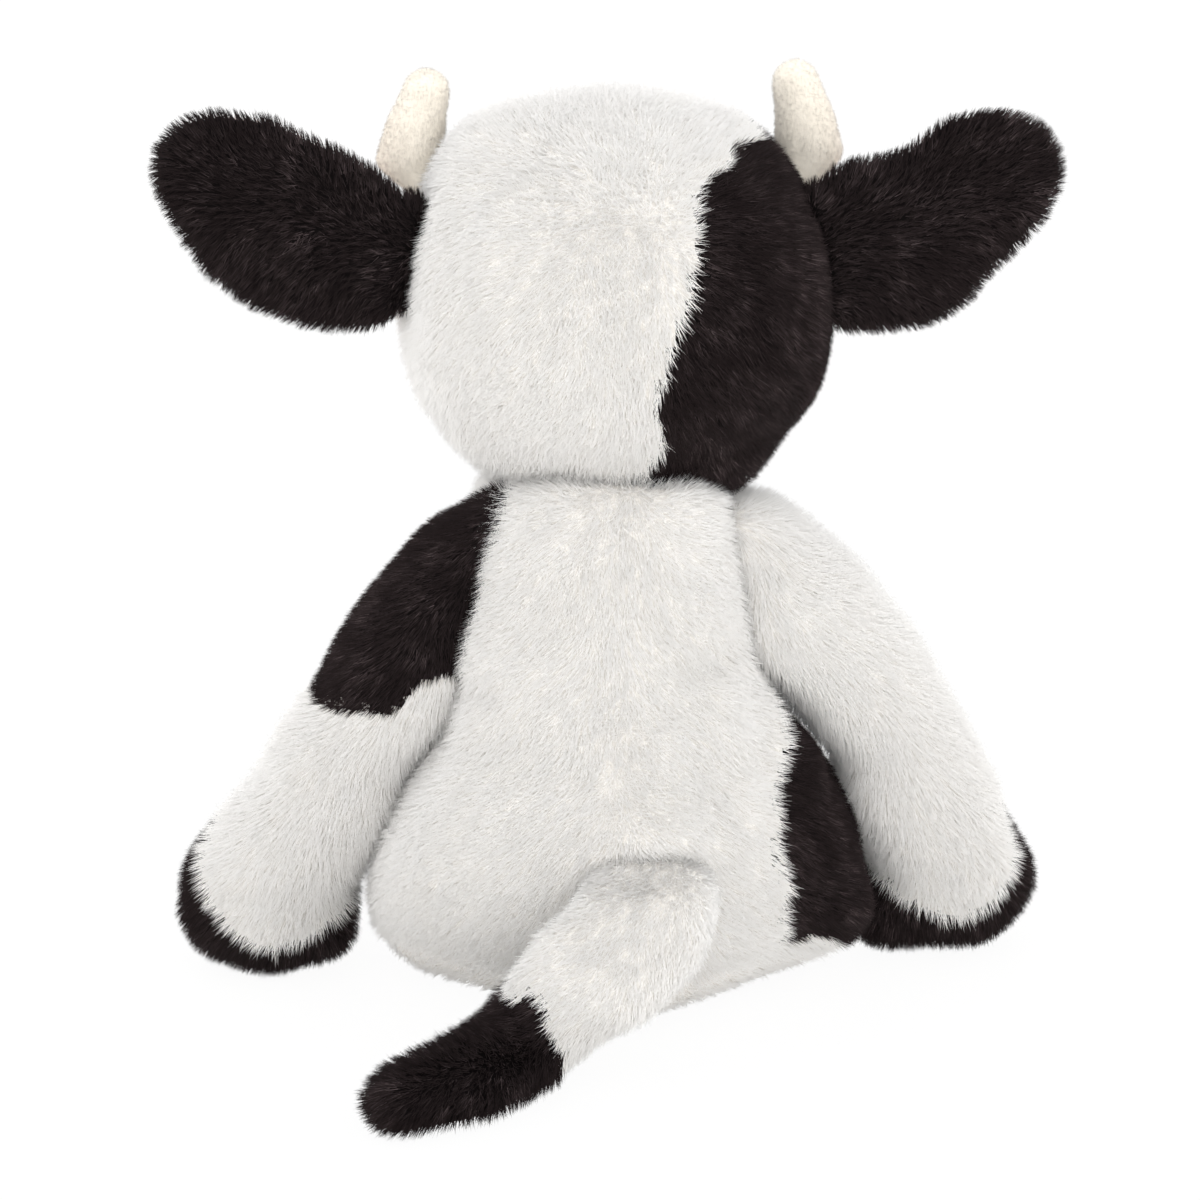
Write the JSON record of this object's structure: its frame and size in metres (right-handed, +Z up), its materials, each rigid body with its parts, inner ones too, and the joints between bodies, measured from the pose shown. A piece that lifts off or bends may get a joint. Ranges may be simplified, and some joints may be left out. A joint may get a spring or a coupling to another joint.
{
  "type": "plush cow",
  "caption": "Soft sitting plush cow in white fur with black patches, ears and hooves, felt horns and a tufted tail; head, ears, arms, legs and tail move on their seams.",
  "frame": {"origin": "middle of the flat seat, on the floor the cow sits on", "axes": "+Z up; the cow faces -Y; its left side is +X"},
  "size_m": [0.271, 0.2654, 0.2888],
  "materials": {
    "white_plush": "long soft pile",
    "black_plush": "long soft pile",
    "muzzle_plush": "short pile",
    "ear_lining": "short pile",
    "horn_felt": "short brushed felt",
    "stuffing": "loose polyester fibre",
    "pellets": "cotton bag of plastic pellets",
    "thread": "embroidered",
    "eye_gloss": "polished",
    "nylon": "moulded"
  },
  "bodies": {
    "torso": {"torso_cover": "white_plush", "torso_hip_patch": "black_plush", "torso_base_panel": "white_plush", "torso_fill": "stuffing", "seat_pellet_bag": "pellets"},
    "neck": {"neck_fill": "stuffing"},
    "head": {"left_eye": "eye_gloss", "left_eye_washer": "nylon", "left_horn_cover": "horn_felt", "left_horn_fill": "stuffing", "right_eye": "eye_gloss", "right_eye_washer": "nylon", "right_horn_cover": "horn_felt", "right_horn_fill": "stuffing", "head_cover": "white_plush", "head_patch": "black_plush", "head_fill": "stuffing", "muzzle_cover": "muzzle_plush", "muzzle_fill": "stuffing", "left_nostril_stitching": "thread", "right_nostril_stitching": "thread", "mouth_stitching": "thread"},
    "left_ear": {"left_ear_back": "black_plush", "left_ear_lining": "ear_lining"},
    "right_ear": {"right_ear_back": "black_plush", "right_ear_lining": "ear_lining"},
    "left_arm": {"left_arm_hoof": "black_plush", "left_arm_fill": "stuffing", "left_arm_upper_patch": "black_plush", "left_arm_cover": "white_plush"},
    "right_arm": {"right_arm_hoof": "black_plush", "right_arm_fill": "stuffing", "right_arm_cover": "white_plush"},
    "left_leg": {"left_leg_cover": "white_plush", "left_leg_hoof": "black_plush", "left_leg_fill": "stuffing"},
    "right_leg": {"right_leg_cover": "white_plush", "right_leg_hoof": "black_plush", "right_leg_fill": "stuffing"},
    "tail": {"tail_cover": "white_plush", "tail_tuft": "black_plush", "tail_fill": "stuffing"}
  },
  "joints": [
    {"name": "head_turn", "type": "hinge", "parent": "torso", "child": "neck", "pos_m": [0, -0.01, 0.194], "axis": [0, 0, 1], "range_deg": [-35, 35], "stiffness_Nm_per_rad": 0.6},
    {"name": "head_nod", "type": "hinge", "parent": "neck", "child": "head", "pos_m": [0, -0.01, 0.194], "axis": [1, 0, 0], "range_deg": [-6, 14], "stiffness_Nm_per_rad": 0.6},
    {"name": "left_ear_fold", "type": "hinge", "parent": "head", "child": "left_ear", "pos_m": [0.06239, 0.0005, 0.237], "axis": [0.225, 0, -0.9744], "range_deg": [-35, 25], "stiffness_Nm_per_rad": 0.05},
    {"name": "right_ear_fold", "type": "hinge", "parent": "head", "child": "right_ear", "pos_m": [-0.06218, 0.0005, 0.2335], "axis": [0.225, 0, 0.9744], "range_deg": [-35, 25], "stiffness_Nm_per_rad": 0.05},
    {"name": "left_arm_swing", "type": "hinge", "parent": "torso", "child": "left_arm", "pos_m": [0.0455, 0.001, 0.135], "axis": [-0.9848, 0, -0.1736], "range_deg": [-10, 95]},
    {"name": "right_arm_swing", "type": "hinge", "parent": "torso", "child": "right_arm", "pos_m": [-0.0355, 0.001, 0.135], "axis": [-0.9848, 0, 0.1736], "range_deg": [-10, 95]},
    {"name": "left_leg_swing", "type": "hinge", "parent": "torso", "child": "left_leg", "pos_m": [0.037, -0.036, 0.0283], "axis": [1, 0, 0], "range_deg": [0, 75]},
    {"name": "right_leg_swing", "type": "hinge", "parent": "torso", "child": "right_leg", "pos_m": [-0.037, -0.036, 0.0283], "axis": [1, 0, 0], "range_deg": [0, 75]},
    {"name": "tail_swing", "type": "hinge", "parent": "torso", "child": "tail", "pos_m": [-0.002, 0.05325, 0.046], "axis": [0, 0, 1], "range_deg": [-20, 20], "stiffness_Nm_per_rad": 0.05}
  ]
}
